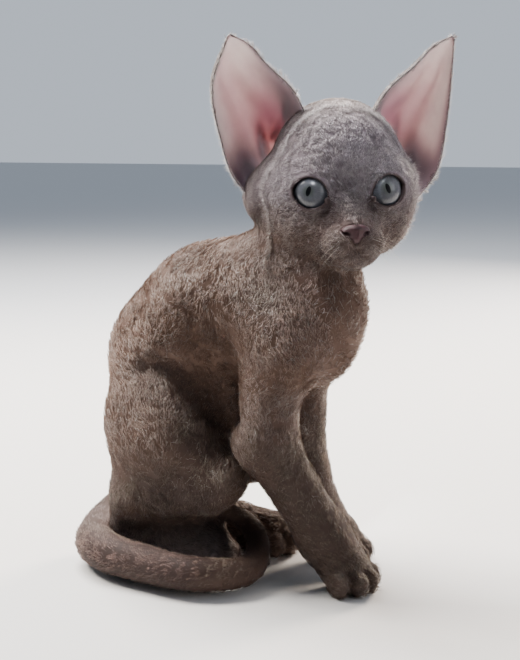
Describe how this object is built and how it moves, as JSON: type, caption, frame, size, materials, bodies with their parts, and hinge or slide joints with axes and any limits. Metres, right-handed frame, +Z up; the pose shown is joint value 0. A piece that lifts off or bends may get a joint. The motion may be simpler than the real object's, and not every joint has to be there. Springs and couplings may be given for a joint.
{
  "type": "cat",
  "caption": "Life-size still model of a Devon Rex kitten sitting upright, its head turned over its shoulder and its tail curled round its hind feet.",
  "frame": {"origin": "on the floor, under the middle of the bounding box", "axes": "+Z up, +X where the body faces, -Y the cat's right side, over which its head is turned"},
  "size_m": [0.1716, 0.1114, 0.2556],
  "materials": {
    "coat": "short soft wavy fur, chocolate brown",
    "ear_skin": "thin warm pink skin with sparse down",
    "eye": "wet and clear, grey-blue iris",
    "nose_leather": "moist, finely grained, dark pinkish brown"
  },
  "bodies": {
    "root": {"head": "coat", "neck": "coat", "torso": "coat", "foreleg_left_upper": "coat", "foreleg_left_lower": "coat", "forepaw_left": "coat", "foreleg_right_upper": "coat", "foreleg_right_lower": "coat", "forepaw_right": "coat", "thigh_left": "coat", "shank_left": "coat", "hindfoot_left": "coat", "thigh_right": "coat", "shank_right": "coat", "hindfoot_right": "coat", "tail_1": "coat", "tail_2": "coat", "tail_3": "coat", "tail_4": "coat", "ear_left": "ear_skin", "ear_right": "ear_skin", "eye_left": "eye", "eye_right": "eye", "nose": "nose_leather"}
  },
  "joints": []
}
